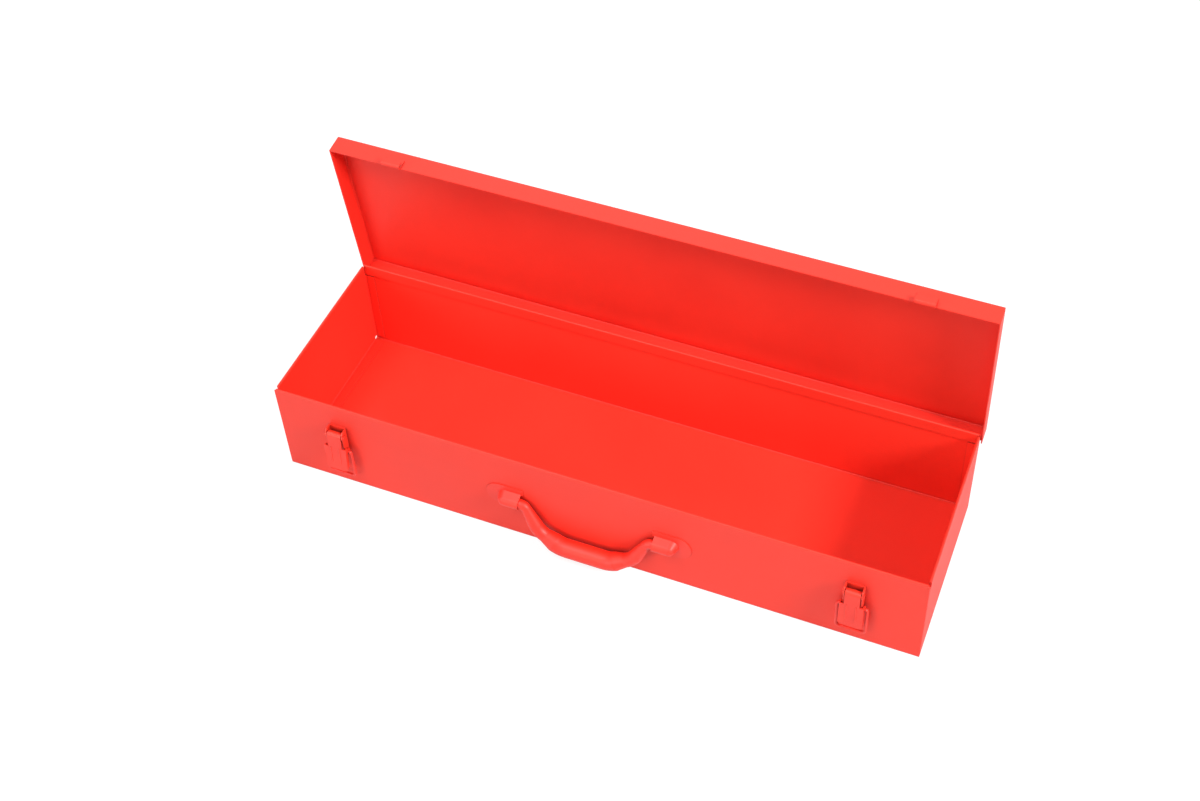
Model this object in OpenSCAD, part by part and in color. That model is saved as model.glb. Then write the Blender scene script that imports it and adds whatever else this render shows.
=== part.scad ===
// Long sheet-steel carrying case: one hinged lid, two draw latches, one drop handle.
// Frame: origin at the centre of the bottom face, +X along the length to the right,
// +Y to the back (hinge side), +Z up. Millimetres.

/* [Body] */
// Length of the body over the trough ends
body_l = 600; // [540:5:660]
// Depth of the body, front wall to back wall, outside
body_d = 169; // [152:1:186]
// Height of the body to the rim
body_h = 103; // [95:1:111]
// Sheet thickness of body and lid
sheet = 1; // [0.8:0.1:1.2]
// Outside radius of the folds
fold_r = 2; // [1.6:0.1:2.5]
// Depth of the hem folded inward along the front and back rims
hem_depth = 11.6; // [9:0.2:13]
// Gap inside the hem fold
hem_gap = 0.2; // [0.1:0.05:0.4]
// Length by which the hem stops short at each end
hem_short = 1.5; // [1.4:0.1:3]

/* [End panels] */
// Width of the flanges turned in along the bottom and the sides
panel_flange = 10; // [8:0.5:12]
// Depth of the hem folded inward along each panel's top
panel_hem = 4; // [3:0.5:8]
// Diameter of the relief hole at each bottom corner
relief_d = 4.4; // [3.6:0.1:5]
// Width of the notch cut from each front top corner
front_notch_w = 4; // [3:0.5:6]
// Depth of the notch cut from each front top corner
front_notch_h = 6; // [4:0.5:9]
// Width of the notch cut from each back top corner
back_notch_w = 3; // [2:0.5:5]
// Depth of the notch cut from each back top corner
back_notch_h = 3; // [2:0.5:6]
// Sheet thickness of the end panels
panel_t = 1; // [0.8:0.1:1.2]
// Distance by which the trough ends stand back from the panels' faces
trough_back = 0.2; // [0.1:0.1:1]

/* [Lid] */
// Opening angle in the stored position
lid_open = 83.5; // [0:0.5:188]
// Gap between end panel and lid skirt
lid_side_gap = 0.7; // [0.4:0.1:1]
// Gap between front wall and lid skirt
lid_front_gap = 0.8; // [0.6:0.1:1.4]
// Depth of the lid skirt at the front and the ends
lid_skirt = 18.4; // [16:0.1:20]
// Gap between the rim and the lid's inside when closed
lid_rest = 1.2; // [0.8:0.1:2]

/* [Hinge] */
// Outside diameter of the hinge knuckles
knuckle_d = 4.6; // [4.2:0.1:5]
// Diameter of the hinge pin
hinge_pin_d = 2.3; // [2:0.1:2.6]
// Radial clearance of pins and wires in their holes
pin_fit = 0.05; // [0.03:0.01:0.1]
// Number of knuckles, shared alternately by the two leaves
knuckle_n = 29; // [21:2:35]
// Gap between neighbouring knuckles
knuckle_gap = 0.3; // [0.25:0.05:0.5]
// Distance of the hinge leaf ends from the body ends
hinge_end = 1.5; // [1.3:0.1:3]
// Height of the hinge line over the lid skirt's lower edge
hinge_up = 0.3; // [0:0.1:1]
// Distance of the hinge line behind the back wall
hinge_back = 2.8; // [2.8:0.05:3]
// Width of the body leaf below the hinge line
body_leaf_w = 11; // [9:0.5:13]
// Width of the lid leaf above the hinge line
lid_leaf_w = 8; // [6.5:0.5:10]

/* [Latches] */
// Distance of each latch's middle from the end of the body
latch_end = 60; // [40:1:80]
// Height of the top of the latch base
latch_top = 78; // [75:0.5:80]
// Height of the latch base
latch_base_h = 30.5; // [28:0.5:32]
// Width of the latch base over its ears
latch_base_w = 17; // [16:0.5:18]
// Sheet thickness of the latch base
base_t = 1.2; // [1:0.1:1.2]
// Distance of the lever pivot from the wall
lever_out = 6.3; // [6:0.1:6.6]
// Drop of the lever pivot below the top of the base
lever_drop = 6; // [5:0.5:7]
// Diameter of the lever pivot pin
lever_pin_d = 3; // [2.6:0.1:3.2]
// Sheet thickness of the lever
lever_t = 1; // [0.8:0.1:1.1]
// Width of the lever between the ears
lever_neck_w = 13.5; // [12:0.1:13.8]
// Width of the lever blade
lever_w = 21; // [20.6:0.1:21.2]
// Length of the lever from its pivot to its tip
lever_len = 41; // [38:0.5:43]
// Opening angle of the left lever in the stored position
lever_left_open = 4.5; // [0:0.5:4.5]
// Opening angle of the right lever in the stored position
lever_right_open = 2; // [0:0.5:4.5]
// Diameter of the bail wire
bail_d = 2.8; // [2.4:0.1:2.9]
// Width of the bail between the wire centres
bail_w = 25.7; // [25.4:0.1:26.5]
// Drop of the bail pivot below the lever pivot
bail_drop = 18.4; // [17.4:0.1:19]
// Distance of the bail pivot from the wall with the lever closed
bail_out = 5; // [4.6:0.1:5.2]
// Depth of the lever blade's side returns
blade_return = 3; // [2:0.5:4]
// Radius of the lugs round the bail pivots
lug_r = 3.2; // [2.8:0.1:3.4]
// Width of the catch on the lid
catch_w = 17.5; // [15:0.5:18]
// Clearance round the bail wire in the catch
catch_fit = 0.2; // [0.15:0.05:0.4]
// Diameter of the latch rivets
rivet_d = 3; // [2.6:0.1:3.2]

/* [Handle] */
// Height of the handle pivot over the floor
handle_z = 51.8; // [49:0.1:55]
// Distance of the handle pivot from the wall
handle_out = 4.8; // [4.7:0.1:5.2]
// Distance from the pivot to the middle of the grip
handle_reach = 37.2; // [35:0.1:39]
// Outward tilt of the handle in the stored position
handle_tilt = 8; // [8:1:60]
// Diameter of the grip
grip_d = 17; // [15:0.5:18]
// Diameter of the handle ends inside the brackets
rod_d = 8.8; // [8:0.1:9.2]
// Distance from the middle to the mouth of each bracket
mouth_x = 62.5; // [61:0.5:66]
// Length of each bracket's tunnel
tunnel_l = 22.5; // [21:0.5:25]
// Half width of the tunnel at the wall
tunnel_hw = 8; // [7:0.5:9.5]
// Half height of the bracket's base plate
plate_hh = 13.5; // [12.5:0.5:15]
// Sheet thickness of the bracket
bracket_t = 0.9; // [0.8:0.1:1]

/* [Hidden] */
$fn = 96;
left = -1;
right = 1;
hx = body_l / 2;
hy = body_d / 2;
front_y = -hy;
eps = 0.01;
body_gap = 0.3;
lid_top = body_h + lid_rest + sheet;
lid_bottom = lid_top - lid_skirt;
hinge_y = hy + hinge_back;
hinge_z = lid_bottom + hinge_up;
knuckle_r = knuckle_d / 2;
hinge_pin_r = hinge_pin_d / 2;
leaf_t = 1;
lid_leaf_y = hy + body_gap;
knuckle_clear = knuckle_r + body_gap;
hinge_hx = hx - hinge_end;
pitch = 2 * hinge_hx / knuckle_n;
pin_head_r = 1.8;
pin_head_l = 0.5;
rim_r = (2 * sheet + hem_gap) / 2;
hem_end_x = hx - hem_short;
panel_x0 = hx - panel_flange;
panel_rim_r = (2 * panel_t + hem_gap) / 2;
panel_y0 = -hy + sheet + front_notch_w;
panel_y1 = hy - sheet - back_notch_w;
relief_in = 0.4;
relief_r = relief_d / 2;
relief_y = hy - sheet - relief_r + relief_in;
relief_z = sheet + relief_r - relief_in;
flange_clear = relief_d + 0.2;
flange_top = body_h - hem_depth - 2;
lid_hx = hx + lid_side_gap + sheet;
lid_y0 = front_y - lid_front_gap - sheet;
lid_y1 = lid_leaf_y + leaf_t + sheet;
lid_back_bottom = hinge_z + knuckle_clear;
latch_x = hx - latch_end;
rivet_r = rivet_d / 2;
rivet_head_r = 2.8;
rivet_head_h = 1;
rivet_zs = [8, 21];
base_hw = latch_base_w / 2;
base_bend = 1.6;
base_bottom = latch_top - latch_base_h;
lever_z = latch_top - lever_drop;
lever_pin_r = lever_pin_d / 2;
barrel_extra = 0.85;
lever_barrel_r = lever_pin_r + pin_fit + lever_t + barrel_extra;
lever_face_u = lever_out + lever_barrel_r;
lever_pin_head_r = 2.3;
lever_pin_head_l = 0.8;
ear_corner_r = 2.5;
ear_boss_r = 3;
ear_out = lever_face_u - lever_t - body_gap;
neck_l = 13;
blade_hw = lever_w / 2;
blade_top = lever_z - neck_l;
tip_len = 5;
tip_corner = 3.5;
bead_r = 0.55;
bead_sink = 0.15;
bead_xs = [-4.2, 4.2];
bead_gap = 4;
bail_r = bail_d / 2;
bail_hw = bail_w / 2;
bail_corner = 4.5;
bail_bend = 2;
bail_end_in = 0.5;
bail_end_x = blade_hw - lever_t - bail_end_in;
bail_z = lever_z - bail_drop;
lip_t = 1;
catch_r = bail_r + catch_fit;
catch_face_u = lid_front_gap + sheet;
catch_u = catch_face_u + lip_t + catch_r;
catch_up = 0.2;
catch_z = lid_bottom + catch_up;
catch_leg_h = 9;
catch_lip_h = 3.2;
bail_len = sqrt(pow(catch_z - bail_z, 2) + pow(catch_u - bail_out, 2));
grip_r = grip_d / 2;
rod_r = rod_d / 2;
mid_r = (grip_r + rod_r) / 2;
step = 0.04;
dip = 0.4;
bend_1 = 24;
bend_2 = 24;
bend_3 = 7;
angle_1 = 30;
leg_angle = 62;
leg_1 = 10;
bow_end_x = mouth_x - 0.5;
leg_2 = (handle_reach - bend_1 * (1 - cos(angle_1)) - leg_1 * sin(angle_1)
    - bend_2 * (cos(angle_1) - cos(leg_angle)) - bend_3 * (1 - cos(leg_angle))) / sin(leg_angle);
grip_hx = bow_end_x - bend_1 * sin(angle_1) - leg_1 * cos(angle_1)
    - bend_2 * (sin(leg_angle) - sin(angle_1)) - leg_2 * cos(leg_angle) - bend_3 * sin(leg_angle);
flank_in = 1.3;
flank_dip = 0.03;
tunnel_r = handle_out;
rod_past = 1;
rod_end_x = mouth_x + tunnel_l - tunnel_hw + rod_past;
dome_x = mouth_x + tunnel_l - tunnel_hw;
plate_lead = 2;
plate_tail = 2.5;
plate_x0 = mouth_x - plate_lead;
plate_x1 = mouth_x + tunnel_l - plate_tail;

// Turns its children by a degrees about the X axis through (y, z).
module turn_x(y, z, a) {
    translate([0, y, z]) rotate([a, 0, 0]) translate([0, -y, -z]) children();
}

// Extrudes a profile drawn in (Y, Z) along X from x0 to x1.
module along_x(x0, x1) {
    translate([x0, 0, 0]) rotate([90, 0, 90]) linear_extrude(x1 - x0) children();
}

// Cylinder along X from x0 to x1, centred on (y, z).
module rod_x(x0, x1, y, z, r) {
    translate([x0, y, z]) rotate([0, 90, 0]) cylinder(h = x1 - x0, r = r);
}

// Rectangle with two rounded corners at the bottom or at the top.
module fold_rect(y0, z0, y1, z1, r, top) {
    zr = top ? z1 - r : z0 + r;
    translate([y0, top ? z0 : z0 + r]) square([y1 - y0, z1 - z0 - r]);
    translate([y0 + r, z0]) square([y1 - y0 - 2 * r, z1 - z0]);
    for (y = [y0 + r, y1 - r]) translate([y, zr]) circle(r);
}

// ---- body ----

module trough_profile() {
    difference() {
        fold_rect(-hy, 0, hy, body_h - rim_r, fold_r, false);
        fold_rect(-hy + sheet, sheet, hy - sheet, body_h + fold_r, fold_r - sheet, false);
    }
}

// A sheet's edge folded back on itself: the outer face at 0, the fold's top at the rim.
module hem_profile(t, depth) {
    r = (2 * t + hem_gap) / 2;
    z = body_h - r;
    difference() {
        union() {
            translate([r, z]) circle(r);
            translate([0, z - r]) square([t, r]);
            translate([2 * r - t, body_h - depth]) square([t, depth - r]);
        }
        translate([r - hem_gap / 2, body_h - depth - eps]) square([hem_gap, depth - r + eps]);
        translate([r, z]) circle(hem_gap / 2);
    }
}

module body_shell() {
    color("#e8322a") difference() {
        union() {
            along_x(-hx + trough_back, hx - trough_back) trough_profile();
            along_x(-hem_end_x, hem_end_x) for (m = [0, 1]) mirror([m, 0])
                translate([-hy, 0]) hem_profile(sheet, hem_depth);
        }
        for (s = [left, right], z = rivet_zs)
            translate([s * latch_x, front_y - sheet, base_bottom + z]) rotate([-90, 0, 0])
                cylinder(h = 3 * sheet, r = rivet_r + pin_fit);
    }
}

// The panel's tray, inset by a sheet for its inside: rounded at the face and the bottom.
module panel_block(inset, x0, z1) {
    r = fold_r - inset;
    x = hx - inset;
    y = hy - sheet - inset;
    z0 = sheet + inset;
    intersection() {
        translate([0, 0, z0]) linear_extrude(z1 - z0) {
            translate([x0, -y]) square([x - r - x0, 2 * y]);
            translate([x0, -y + r]) square([x - x0, 2 * (y - r)]);
            for (e = [-y + r, y - r]) translate([x - r, e]) circle(r);
        }
        translate([0, y, 0]) rotate([90, 0, 0]) linear_extrude(2 * y) {
            translate([x0, z0]) square([x - r - x0, z1 - z0]);
            translate([x0, z0 + r]) square([x - x0, z1 - z0 - r]);
            translate([x - r, z0 + r]) circle(r);
        }
    }
}

module end_panel() {
    y = hy - sheet;
    cut_x = panel_x0 - sheet;
    cut_l = hem_end_x + body_gap - cut_x;
    flat_l = hx - fold_r - cut_x;
    color("#e23028") difference() {
        union() {
            panel_block(0, panel_x0, body_h - panel_rim_r);
            translate([hx, panel_y1, 0]) rotate([90, 0, 0]) linear_extrude(panel_y1 - panel_y0)
                mirror([1, 0]) hem_profile(panel_t, panel_hem);
        }
        difference() {
            panel_block(panel_t, cut_x, body_h + fold_r);
            translate([hx - 2 * panel_rim_r, -hy, body_h - panel_hem])
                cube([2 * panel_rim_r, body_d, body_h]);
        }
        translate([cut_x, -hy, body_h - front_notch_h]) cube([hx, hy + panel_y0, body_h]);
        translate([cut_x, panel_y1, body_h - back_notch_h]) cube([hx, hy - panel_y1, body_h]);
        for (s = [left, right]) {
            translate([cut_x, s * hy - 2 * fold_r, flange_top]) cube([cut_l, 4 * fold_r, body_h]);
            translate([cut_x, s * y - flange_clear, 0]) cube([flat_l, 2 * flange_clear, sheet + flange_clear]);
            rod_x(panel_x0, hx + sheet, s * relief_y, relief_z, relief_r);
            translate([cut_x, s > 0 ? relief_y : -hy, 0])
                cube([panel_flange + 2 * sheet, hy - relief_y, relief_z]);
        }
    }
}

module end_panel_left() { mirror([1, 0, 0]) end_panel(); }
module end_panel_right() { end_panel(); }

// ---- hinge ----

module leaf(side, y, z_end) {
    z0 = side > 0 ? hinge_z + knuckle_clear : z_end;
    z1 = side > 0 ? z_end : hinge_z - knuckle_clear;
    first = side > 0 ? 1 : 0;
    difference() {
        union() {
            translate([-hinge_hx, y, z0]) cube([2 * hinge_hx, leaf_t, z1 - z0]);
            for (k = [first : 2 : knuckle_n - 1]) {
                x0 = -hinge_hx + k * pitch + knuckle_gap / 2;
                x1 = x0 + pitch - knuckle_gap;
                rod_x(x0, x1, hinge_y, hinge_z, knuckle_r);
                translate([x0, y, side > 0 ? hinge_z : z1 - eps])
                    cube([x1 - x0, leaf_t, knuckle_clear + eps]);
            }
        }
        rod_x(-hx, hx, hinge_y, hinge_z, hinge_pin_r + pin_fit);
    }
}

module hinge_body_leaf() { color("#e8322a") leaf(left, hy, hinge_z - body_leaf_w); }

module hinge_pin() {
    x = hinge_hx - knuckle_gap / 2;
    color("#b8b8b4") {
        rod_x(-x - eps, x + eps, hinge_y, hinge_z, hinge_pin_r);
        rod_x(-x - pin_head_l, -x, hinge_y, hinge_z, pin_head_r);
        rod_x(x, x + pin_head_l, hinge_y, hinge_z, pin_head_r);
    }
}

// ---- lid ----

module on_lid() { turn_x(hinge_y, hinge_z, -lid_open) children(); }

module lid_block(inset, z0) {
    r = fold_r - inset;
    x = lid_hx - inset;
    top = lid_top - inset;
    intersection() {
        along_x(-x, x) fold_rect(lid_y0 + inset, z0, lid_y1 - inset, top, r, true);
        translate([0, lid_y1, 0]) rotate([90, 0, 0]) linear_extrude(lid_y1 - lid_y0)
            fold_rect(-x, z0, x, top, r, true);
    }
}

module lid_shell() {
    color("#ea342c") on_lid() difference() {
        lid_block(0, lid_bottom);
        lid_block(sheet, lid_bottom - sheet);
        translate([-hx - lid_side_gap, lid_y1 - 2 * sheet, lid_bottom - sheet])
            cube([body_l + 2 * lid_side_gap, 4 * sheet, lid_back_bottom - lid_bottom + sheet]);
    }
}

module hinge_lid_leaf() { color("#ea342c") on_lid() leaf(right, lid_leaf_y, hinge_z + lid_leaf_w); }

module catch_profile() {
    y = front_y - catch_u;
    z = catch_z;
    difference() {
        union() {
            translate([y, z]) circle(catch_r + lip_t);
            translate([y + catch_r, z]) square([lip_t, catch_leg_h]);
            translate([y - catch_r - lip_t, z]) square([lip_t, catch_lip_h]);
        }
        translate([y, z]) circle(catch_r);
        translate([y - catch_r, z]) square([2 * catch_r, 2 * catch_r]);
    }
}

module lid_catch(s) {
    color("#ea342c") on_lid() along_x(s * latch_x - catch_w / 2, s * latch_x + catch_w / 2) catch_profile();
}

module lid_catch_left() { lid_catch(left); }
module lid_catch_right() { lid_catch(right); }

// ---- latches: drawn round x = 0, u is the distance out from the front wall ----

module ear_outline() {
    y0 = front_y - ear_out;
    translate([y0 + ear_corner_r, base_bottom]) square([ear_out - ear_corner_r, latch_base_h]);
    translate([y0, base_bottom + ear_corner_r]) square([ear_out, latch_base_h - 2 * ear_corner_r]);
    for (z = [base_bottom + ear_corner_r, latch_top - ear_corner_r])
        translate([y0 + ear_corner_r, z]) circle(ear_corner_r);
    translate([front_y - lever_out, lever_z]) circle(ear_boss_r);
}

// The base channel's outside, with the bends rounded where it leaves the wall.
module base_outline() {
    translate([-base_hw, -2 * lever_out]) square([latch_base_w, 2 * lever_out - base_bend]);
    translate([base_bend - base_hw, -base_bend]) square([latch_base_w - 2 * base_bend, base_bend]);
    for (x = [base_bend - base_hw, base_hw - base_bend]) translate([x, -base_bend]) circle(base_bend);
}

module latch_base(s) {
    color("#e23028") translate([s * latch_x, 0, 0]) difference() {
        intersection() {
            union() {
                translate([-base_hw, front_y - base_t, base_bottom]) cube([latch_base_w, base_t, latch_base_h]);
                along_x(-base_hw, -base_hw + base_t) ear_outline();
                along_x(base_hw - base_t, base_hw) ear_outline();
            }
            translate([0, front_y, base_bottom - base_t])
                linear_extrude(latch_base_h + 2 * base_t) base_outline();
        }
        rod_x(-latch_base_w, latch_base_w, front_y - lever_out, lever_z, lever_pin_r + pin_fit);
        for (z = rivet_zs) translate([0, front_y - 2 * base_t, base_bottom + z]) rotate([-90, 0, 0])
            cylinder(h = 3 * base_t, r = rivet_r + pin_fit);
    }
}

module latch_base_left() { latch_base(left); }
module latch_base_right() { latch_base(right); }

module latch_rivets() {
    u0 = front_y - base_t - rivet_head_h;
    color("#d8d6d2") for (s = [left, right], z = rivet_zs)
        translate([s * latch_x, 0, base_bottom + z]) {
            translate([0, u0 + eps, 0]) rotate([-90, 0, 0])
                cylinder(h = base_t + sheet + 2 * rivet_head_h - 2 * eps, r = rivet_r);
            translate([0, u0, 0]) rotate([-90, 0, 0]) cylinder(h = rivet_head_h, r = rivet_head_r);
            translate([0, front_y + sheet, 0]) rotate([-90, 0, 0]) cylinder(h = rivet_head_h, r = rivet_head_r);
        }
}

module latch_pin(s) {
    color("#d8d6d2") translate([s * latch_x, 0, 0]) {
        rod_x(-base_hw - eps, base_hw + eps, front_y - lever_out, lever_z, lever_pin_r);
        for (e = [-base_hw - lever_pin_head_l, base_hw])
            rod_x(e, e + lever_pin_head_l, front_y - lever_out, lever_z, lever_pin_head_r);
    }
}

module latch_pin_left() { latch_pin(left); }
module latch_pin_right() { latch_pin(right); }

module on_lever(s, a) {
    translate([s * latch_x, 0, 0]) turn_x(front_y - lever_out, lever_z, -a) children();
}

module lever_blade() {
    y = front_y - lever_face_u;
    knee_z = lever_z - lever_len + tip_len;
    blade_l = blade_top - knee_z;
    translate([0, y + lever_t, 0]) rotate([90, 0, 0]) linear_extrude(lever_t)
        fold_rect(-blade_hw, lever_z - lever_len, blade_hw, blade_top, tip_corner, false);
    for (x = [-blade_hw, blade_hw - lever_t]) {
        translate([x, y, knee_z]) cube([lever_t, blade_return, blade_l]);
        translate([x, y, bail_z - lug_r])
            cube([lever_t, lever_face_u - bail_out, min(2 * lug_r, blade_top - bail_z + lug_r)]);
        rod_x(x, x + lever_t, front_y - bail_out, bail_z, lug_r);
    }
    for (x = bead_xs) translate([x, y + bead_sink, knee_z + bead_gap])
        cylinder(h = blade_l - bead_gap, r = bead_r);
}

module latch_lever(s, a) {
    y = front_y - lever_face_u;
    color("#e8322a") on_lever(s, a) difference() {
        union() {
            rod_x(-lever_neck_w / 2, lever_neck_w / 2, front_y - lever_out, lever_z, lever_barrel_r);
            translate([-lever_neck_w / 2, y, lever_z - neck_l - eps])
                cube([lever_neck_w, lever_t, neck_l + eps]);
            lever_blade();
        }
        rod_x(-lever_w, lever_w, front_y - lever_out, lever_z, lever_pin_r + pin_fit);
        rod_x(-lever_w, lever_w, front_y - bail_out, bail_z, bail_r + pin_fit);
    }
}

module latch_lever_left() { latch_lever(left, lever_left_open); }
module latch_lever_right() { latch_lever(right, lever_right_open); }

// Bail hanging straight down from its pivot, pivot at the origin.
module bail_wire() {
    low = -bail_len;
    for (m = [0, 1]) mirror([m, 0, 0]) {
        rod_x(bail_end_x, bail_hw - bail_bend, 0, 0, bail_r);
        translate([bail_hw - bail_bend, 0, -bail_bend]) rotate([90, 0, 0])
            rotate_extrude(angle = 90) translate([bail_bend, 0]) circle(bail_r);
        translate([bail_hw, 0, low + bail_corner])
            cylinder(h = -low - bail_corner - bail_bend, r = bail_r);
        translate([bail_hw - bail_corner, 0, low + bail_corner]) rotate([90, 90, 0])
            rotate_extrude(angle = 90) translate([bail_corner, 0]) circle(bail_r);
    }
    rod_x(-bail_hw + bail_corner, bail_hw - bail_corner, 0, low, bail_r);
}

module latch_bail(s, a) {
    dy = lever_out - bail_out;
    y = front_y - lever_out + dy * cos(a) - bail_drop * sin(a);
    z = lever_z - dy * sin(a) - bail_drop * cos(a);
    color("#e8322a") translate([s * latch_x, y, z]) bail_wire();
}

module latch_bail_left() { latch_bail(left, lever_left_open); }
module latch_bail_right() { latch_bail(right, lever_right_open); }

// ---- handle ----

// The tunnel's section, or its right half: x is across, y is out from the wall.
module tunnel_section(r, w, x0) {
    d = sqrt(pow(w, 2) + pow(handle_out, 2));
    a = acos(r / d) - atan2(handle_out, w);
    in_x = (r - flank_dip) * cos(a);
    in_y = handle_out + (r - flank_dip) * sin(a);
    intersection() {
        union() {
            translate([0, handle_out]) circle(r);
            polygon([[-w, 0], [w, 0], [in_x, in_y], [-in_x, in_y]]);
        }
        translate([x0, 0]) square([w - x0, handle_out + 2 * r]);
    }
}

module tunnel_solid(r, w, x0) {
    translate([x0, front_y, handle_z]) rotate([90, 0, 90]) linear_extrude(dome_x - x0)
        rotate(90) tunnel_section(r, w, -w);
    translate([dome_x, front_y, handle_z]) rotate([90, 0, 0]) rotate([0, 0, -90])
        rotate_extrude(angle = 180) tunnel_section(r, w, 0);
}

module bracket_plate() {
    translate([plate_x0, front_y, handle_z]) rotate([90, 0, 0]) linear_extrude(bracket_t) {
        translate([0, -plate_hh]) square([plate_x1 - plate_x0, 2 * plate_hh]);
        translate([plate_x1 - plate_x0, 0]) circle(plate_hh);
    }
}

module handle_bracket() {
    color("#e8322a") difference() {
        union() {
            bracket_plate();
            tunnel_solid(tunnel_r + bracket_t, tunnel_hw, mouth_x);
        }
        tunnel_solid(tunnel_r, tunnel_hw - flank_in * bracket_t, plate_x0 - bracket_t);
    }
}

module handle_bracket_left() { mirror([1, 0, 0]) handle_bracket(); }
module handle_bracket_right() { handle_bracket(); }

// Bends the path upward: draws a bend of wire radius r, started a little inside the
// piece before it, and moves its children to the end.
module bend(big_r, r, a) {
    dip_a = asin(dip / big_r);
    translate([0, 0, big_r]) {
        rotate([90, 0, 0]) rotate([0, 0, -90 - dip_a]) rotate_extrude(angle = a + dip_a)
            translate([big_r, 0]) circle(r);
        rotate([0, -a, 0]) translate([0, 0, -big_r]) children();
    }
}

// Straight taper along the path from radius r0 to r1, children at its end.
module taper(l, r0, r1) {
    translate([-dip, 0, 0]) rotate([0, 90, 0]) cylinder(h = l + dip, r1 = r0, r2 = r1);
    translate([l, 0, 0]) children();
}

module bow_half() {
    translate([grip_hx, 0, -handle_reach])
        bend(bend_1, grip_r - step, angle_1)
        taper(leg_1, grip_r - 2 * step, mid_r)
        bend(bend_2, mid_r - step, leg_angle - angle_1)
        taper(leg_2, mid_r - 2 * step, rod_r + 2 * step)
        mirror([0, 0, 1]) bend(bend_3, rod_r + step, leg_angle)
        taper(rod_end_x - bow_end_x, rod_r, rod_r);
}

module handle_bow() {
    color("#e8322a") translate([0, front_y - handle_out, handle_z]) rotate([-handle_tilt, 0, 0]) {
        bow_half();
        mirror([1, 0, 0]) bow_half();
        rod_x(-grip_hx, grip_hx, 0, -handle_reach, grip_r);
    }
}

body_shell();
end_panel_left();
end_panel_right();
hinge_body_leaf();
hinge_pin();
lid_shell();
hinge_lid_leaf();
lid_catch_left();
lid_catch_right();
latch_base_left();
latch_base_right();
latch_rivets();
latch_pin_left();
latch_pin_right();
latch_lever_left();
latch_lever_right();
latch_bail_left();
latch_bail_right();
handle_bracket_left();
handle_bracket_right();
handle_bow();
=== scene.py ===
"""Looks, studio and camera for the long sheet-steel tool case, built around the CAD frame."""

import math

import bpy
from mathutils import Matrix, Vector

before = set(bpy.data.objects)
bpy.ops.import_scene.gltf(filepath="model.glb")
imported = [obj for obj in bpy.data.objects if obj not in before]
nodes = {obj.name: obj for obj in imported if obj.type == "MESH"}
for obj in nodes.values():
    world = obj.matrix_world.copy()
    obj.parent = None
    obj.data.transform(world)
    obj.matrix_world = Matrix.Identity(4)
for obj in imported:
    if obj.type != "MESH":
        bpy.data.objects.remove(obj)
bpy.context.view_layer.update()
scene = bpy.context.scene

# ---------------------------------------------------------------- camera
# Solved from the corners of the case; the picture is a crop, so the axis is off its centre.
PHOTO_W, PHOTO_H = 1200, 801
FOCAL_PX = 1765.7
AXIS_X, AXIS_Y = 669.13, 262.24
AZIMUTH, ELEVATION, ROLL = 21.513, 44.913, -0.846
PAN_X, PAN_Y, AWAY = -0.039792, -0.203547, 1.619644
SENSOR_MM = 36
CLIP_NEAR, CLIP_FAR = 0.05, 20


def camera():
    az, el, roll = (math.radians(a) for a in (AZIMUTH, ELEVATION, ROLL))
    back = Vector((math.sin(az) * math.cos(el), -math.cos(az) * math.cos(el), math.sin(el)))
    side = Vector((0, 0, 1)).cross(back).normalized()
    top = back.cross(side)
    right = side * math.cos(roll) + top * math.sin(roll)
    up = top * math.cos(roll) - side * math.sin(roll)
    data = bpy.data.cameras.new("camera")
    data.sensor_fit = "HORIZONTAL"
    data.sensor_width = SENSOR_MM
    data.lens = FOCAL_PX / PHOTO_W * SENSOR_MM
    data.shift_x = (PHOTO_W / 2 - AXIS_X) / PHOTO_W
    data.shift_y = (AXIS_Y - PHOTO_H / 2) / PHOTO_W
    data.clip_start, data.clip_end = CLIP_NEAR, CLIP_FAR
    cam = bpy.data.objects.new("camera", data)
    scene.collection.objects.link(cam)
    spin = Matrix((right, up, back)).transposed().to_4x4()
    cam.matrix_world = Matrix.Translation(back * AWAY - right * PAN_X - up * PAN_Y) @ spin
    scene.camera = cam


camera()


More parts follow.
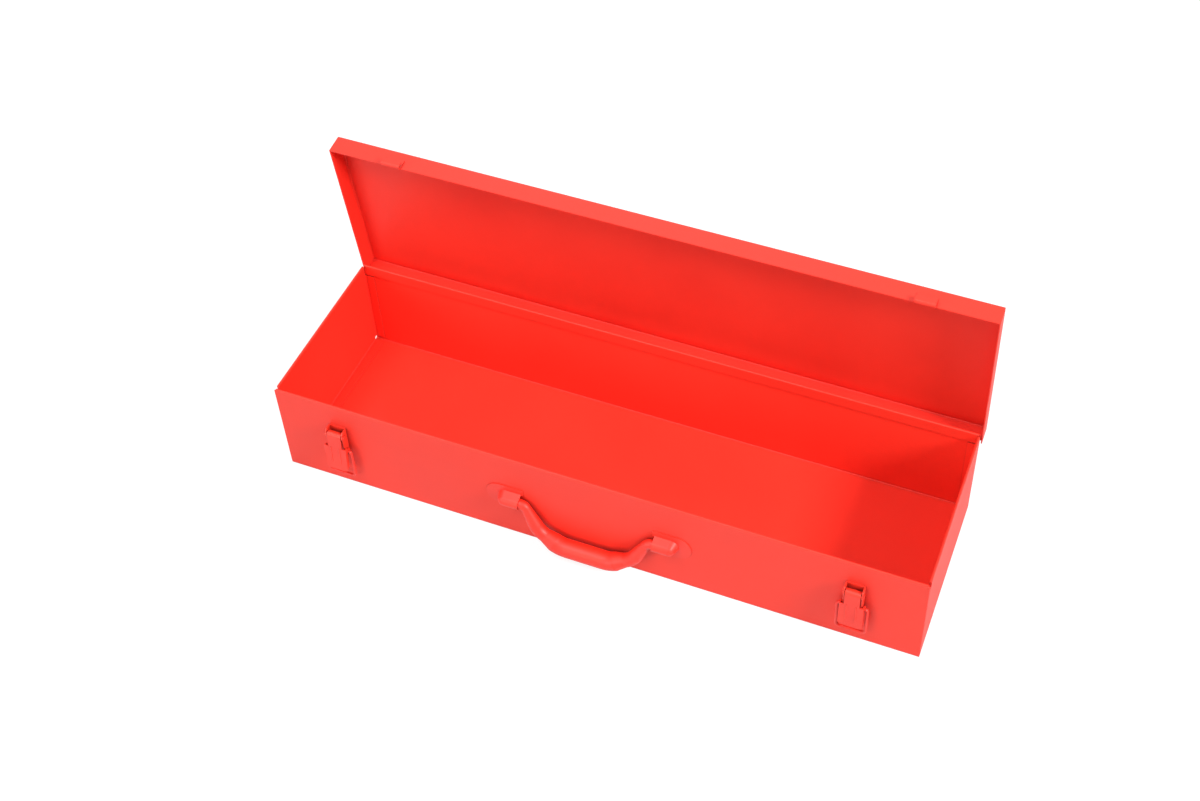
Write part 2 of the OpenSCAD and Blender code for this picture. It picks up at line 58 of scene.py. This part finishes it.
# ---------------------------------------------------------------- node trees
class Nodes:
    """Short calls for building the node tree of a material or a world."""

    def __init__(self, owner, output):
        owner.use_nodes = True
        self.tree = owner.node_tree
        self.tree.nodes.clear()
        self.out = self.add(output)

    def add(self, kind, inputs=None, **props):
        n = self.tree.nodes.new(kind)
        for k, v in props.items():
            setattr(n, k, v)
        for k, v in (inputs or {}).items():
            self.feed(n.inputs[k], v)
        return n

    def feed(self, socket, value):
        if isinstance(value, bpy.types.NodeSocket):
            self.tree.links.new(value, socket)
        else:
            socket.default_value = value

    def surface(self, shader):
        self.feed(self.out.inputs["Surface"], shader.outputs[0])

    def coords(self):
        return self.add("ShaderNodeTexCoord").outputs["Object"]

    def noise(self, where, scale, detail, rough=0.5):
        n = self.add("ShaderNodeTexNoise", {"Vector": where, "Scale": scale, "Detail": detail,
                                            "Roughness": rough})
        return n.outputs["Fac"]

    def span(self, value, source, target):
        n = self.add("ShaderNodeMapRange", {"Value": value,
                                            "From Min": source[0], "From Max": source[1],
                                            "To Min": target[0], "To Max": target[1]})
        return n.outputs["Result"]

    def mix(self, share, a, b):
        n = self.add("ShaderNodeMix", data_type="RGBA", blend_type="MIX")
        for socket, value in ((n.inputs[0], share), (n.inputs[6], a), (n.inputs[7], b)):
            self.feed(socket, value)
        return n.outputs[2]

    def larger(self, a, b):
        return self.add("ShaderNodeMath", {0: a, 1: b}, operation="MAXIMUM").outputs[0]

    def shown_to_lens(self):
        """1 for camera, glossy and transmission rays, 0 for the rays that light the part."""
        path = self.add("ShaderNodeLightPath").outputs
        first = self.larger(path["Is Camera Ray"], path["Is Glossy Ray"])
        return self.larger(first, path["Is Transmission Ray"])

    def choose(self, share, a, b):
        inputs = {0: share, 1: a.outputs[0], 2: b.outputs[0]}
        self.surface(self.add("ShaderNodeMixShader", inputs))


def material(name):
    mat = bpy.data.materials.new(name)
    return mat, Nodes(mat, "ShaderNodeOutputMaterial")


def rgb(r, g, b):
    return (r, g, b, 1.0)


# ---------------------------------------------------------------- paint
RED = (0.87, 0.0185, 0.0050)
THICK_FILM = tuple(c * 0.93 for c in RED)
THIN_FILM = (RED[0] * 1.02, RED[1] * 1.25, RED[2] * 1.3)
GRAIN = tuple(c * 0.86 for c in RED)
# Paler red painted on convex edges as a highlight.
PAINTED_EDGE_HIGHLIGHT = (1.0, RED[1] * 2.6, RED[2] * 2.8)
# Deep red painted into creases and gaps as shade.
PAINTED_CREASE_SHADE = (RED[0] * 0.25, 0.001, 0.0002)

# Noise scales are per metre, depths in metres; each pair is the span that a value is read over.
FILM_SCALE, FILM_DETAIL, FILM_SPAN = 9.0, 3.0, (0.3, 0.7)
GRAIN_SCALE, GRAIN_DETAIL, GRAIN_SPAN, GRAIN_SHARE = 1400.0, 2.0, (0.35, 0.65), 0.10
EDGE_SPAN, EDGE_SHARE = (0.53, 0.62), 0.35
CREASE_SHADE_SPAN, CREASE_SAMPLES = (0.30, 0.90), 8
PEEL_FINE = {"scale": 520.0, "detail": 1.5, "rough": 0.45}
PEEL_BROAD = {"scale": 170.0, "detail": 1.0, "rough": 0.4}
PEEL_BROAD_GAIN, PEEL_DEPTH = 1.4, 0.0002
RIPPLE = {"scale": 5.0, "detail": 1.0, "rough": 0.3}
RIPPLE_DEPTH = 0.002
ROUGH_SPREAD = 0.03
PAINT_IOR, PAINT_SPECULAR, COAT, COAT_ROUGH = 1.5, 0.62, 0.10, 0.3


def powder_coat(name, rough=0.64, peel=0.10, ripple=0.0, edge_highlight=0.6, shade_reach=0.005, crease_shade=0.5):
    """Satin powder coat: orange peel, faint film clouds, a painted highlight on edges and
    painted shade in creases.

    shade_reach is how far a neighbouring surface paints shade into the colour, in metres, and
    crease_shade is how deep that painted shade is.
    """
    mat, n = material(name)
    at = n.coords()
    film = n.noise(at, FILM_SCALE, FILM_DETAIL)
    grain = n.noise(at, GRAIN_SCALE, GRAIN_DETAIL)
    base = n.mix(n.span(film, FILM_SPAN, (0, 1)), rgb(*THICK_FILM), rgb(*THIN_FILM))
    base = n.mix(n.span(grain, GRAIN_SPAN, (0, GRAIN_SHARE)), base, rgb(*GRAIN))
    # Painted highlight: sharp convex edges are mixed towards a paler red, by pointiness.
    edge = n.add("ShaderNodeNewGeometry").outputs["Pointiness"]
    base = n.mix(n.span(edge, EDGE_SPAN, (0, EDGE_SHARE * edge_highlight)), base, rgb(*PAINTED_EDGE_HIGHLIGHT))
    # Painted shade: the colour darkens towards a deep red where another surface is near, in
    # creases and gaps.
    crease_shade_ao = n.add("ShaderNodeAmbientOcclusion", {"Distance": shade_reach}, samples=CREASE_SAMPLES)
    base = n.mix(n.span(crease_shade_ao.outputs["AO"], CREASE_SHADE_SPAN, (crease_shade, 0)), base, rgb(*PAINTED_CREASE_SHADE))

    broad = n.span(n.noise(at, **PEEL_BROAD), (0, 1), (0, PEEL_BROAD_GAIN))
    height = n.add("ShaderNodeMath", {0: n.noise(at, **PEEL_FINE), 1: broad}, operation="ADD")
    bump = n.add("ShaderNodeBump", {"Strength": peel, "Distance": PEEL_DEPTH,
                                    "Height": height.outputs[0]})
    if ripple:
        low = n.add("ShaderNodeBump", {"Strength": ripple, "Distance": RIPPLE_DEPTH,
                                       "Height": n.noise(at, **RIPPLE)})
        n.feed(bump.inputs["Normal"], low.outputs["Normal"])

    satin = n.span(film, FILM_SPAN, (rough - ROUGH_SPREAD, rough + ROUGH_SPREAD))
    n.surface(n.add("ShaderNodeBsdfPrincipled", {
        "Base Color": base, "Normal": bump.outputs["Normal"], "Roughness": satin,
        "IOR": PAINT_IOR, "Specular IOR Level": PAINT_SPECULAR,
        "Coat Weight": COAT, "Coat Roughness": COAT_ROUGH}))
    return mat


# ---------------------------------------------------------------- hinge wire
STEEL_DARK, STEEL_LIGHT = (0.34, 0.33, 0.32), (0.62, 0.61, 0.59)
STREAK_STRETCH = (8, 900, 900)
STREAK_SCALE, STREAK_DETAIL, STREAK_SPAN = 3.0, 4.0, (0.3, 0.7)
STREAK_BUMP, STREAK_DEPTH = 0.2, 0.0001
STEEL_ROUGH = (0.28, 0.45)


def bare_wire(name):
    """Drawn steel wire with streaks along its length."""
    mat, n = material(name)
    along = n.add("ShaderNodeMapping", {"Vector": n.coords(), "Scale": STREAK_STRETCH})
    lines = n.noise(along.outputs[0], STREAK_SCALE, STREAK_DETAIL)
    base = n.mix(lines, rgb(*STEEL_DARK), rgb(*STEEL_LIGHT))
    bump = n.add("ShaderNodeBump", {"Strength": STREAK_BUMP, "Distance": STREAK_DEPTH,
                                    "Height": lines})
    n.surface(n.add("ShaderNodeBsdfPrincipled", {
        "Base Color": base, "Metallic": 1.0, "Normal": bump.outputs["Normal"],
        "Roughness": n.span(lines, STREAK_SPAN, STEEL_ROUGH)}))
    return mat


case_mat = powder_coat("case_powder_coat", ripple=0.25)
lid_mat = powder_coat("lid_powder_coat", ripple=0.35)
latch_mat = powder_coat("latch_powder_coat", rough=0.55, peel=0.14, edge_highlight=0.9, crease_shade=0.6)
handle_mat = powder_coat("handle_powder_coat", rough=0.55, peel=0.12, shade_reach=0.002, crease_shade=0.3)
wire_mat = bare_wire("hinge_wire")

# Every piece that isn't named here belongs to a latch.
MATERIALS = {
    "body_shell": case_mat,
    "end_panel_left": case_mat,
    "end_panel_right": case_mat,
    "hinge_body_leaf": case_mat,
    "hinge_pin": wire_mat,
    "lid_shell": lid_mat,
    "hinge_lid_leaf": lid_mat,
    "lid_catch_left": lid_mat,
    "lid_catch_right": lid_mat,
    "handle_bracket_left": handle_mat,
    "handle_bracket_right": handle_mat,
    "handle_bow": handle_mat,
}

for name, ob in nodes.items():
    ob.data.materials.clear()
    ob.data.materials.append(MATERIALS.get(name, latch_mat))

# ---------------------------------------------------------------- stage
FLOOR_SIZE, FLOOR_DROP = 12, 0.0002
FLOOR_BOUNCE, FLOOR_SHADOW, FLOOR_GLOW = 0.60, 0.22, 0.86
SOFT_SKY, SOFT_STRENGTH = (0.97, 0.985, 1.0), 0.18
WHITE, WHITE_STRENGTH = (1, 1, 1), 1.0


def floor():
    """A pale floor that shows white behind the part and keeps its shadow."""
    mat, n = material("floor")
    bounce = n.add("ShaderNodeBsdfDiffuse", {"Color": rgb(*(FLOOR_BOUNCE,) * 3)})
    shadow = n.add("ShaderNodeBsdfDiffuse", {"Color": rgb(*(FLOOR_SHADOW,) * 3)})
    glow = n.add("ShaderNodeEmission", {"Color": rgb(*WHITE), "Strength": FLOOR_GLOW})
    shown = n.add("ShaderNodeAddShader", {0: shadow.outputs[0], 1: glow.outputs[0]})
    n.choose(n.shown_to_lens(), bounce, shown)
    bpy.ops.mesh.primitive_plane_add(size=FLOOR_SIZE, location=(0, 0, -FLOOR_DROP))
    plane = bpy.context.object
    plane.name = "floor"
    plane.data.materials.append(mat)


def studio_world():
    """A dim sky that lights the part, shown as plain white to the lens and in reflections."""
    world = bpy.data.worlds.new("studio")
    scene.world = world
    n = Nodes(world, "ShaderNodeOutputWorld")
    soft = n.add("ShaderNodeBackground", {"Color": rgb(*SOFT_SKY), "Strength": SOFT_STRENGTH})
    white = n.add("ShaderNodeBackground", {"Color": rgb(*WHITE), "Strength": WHITE_STRENGTH})
    n.choose(n.shown_to_lens(), soft, white)


def lamp(name, at, aim, size, watts):
    data = bpy.data.lights.new(name, "AREA")
    data.shape = "RECTANGLE"
    data.size, data.size_y = size
    data.energy = watts
    ob = bpy.data.objects.new(name, data)
    scene.collection.objects.link(ob)
    ob.location = at
    ob.rotation_euler = (Vector(at) - Vector(aim)).to_track_quat("Z", "Y").to_euler()


floor()
studio_world()
lamp("key", at=(2.1, -0.5, 1.7), aim=(0, 0, 0.05), size=(0.6, 0.6), watts=66)
lamp("top", at=(-0.6, -1.0, 2.3), aim=(0, 0, 0.1), size=(1.4, 1.0), watts=32)
lamp("front", at=(-1.5, -2.3, 0.8), aim=(0, 0, 0.05), size=(1.2, 0.8), watts=25)
lamp("back", at=(-0.7, 1.7, 2.0), aim=(0, 0, 0.15), size=(1.2, 0.8), watts=16)

scene.view_settings.view_transform = "Standard"
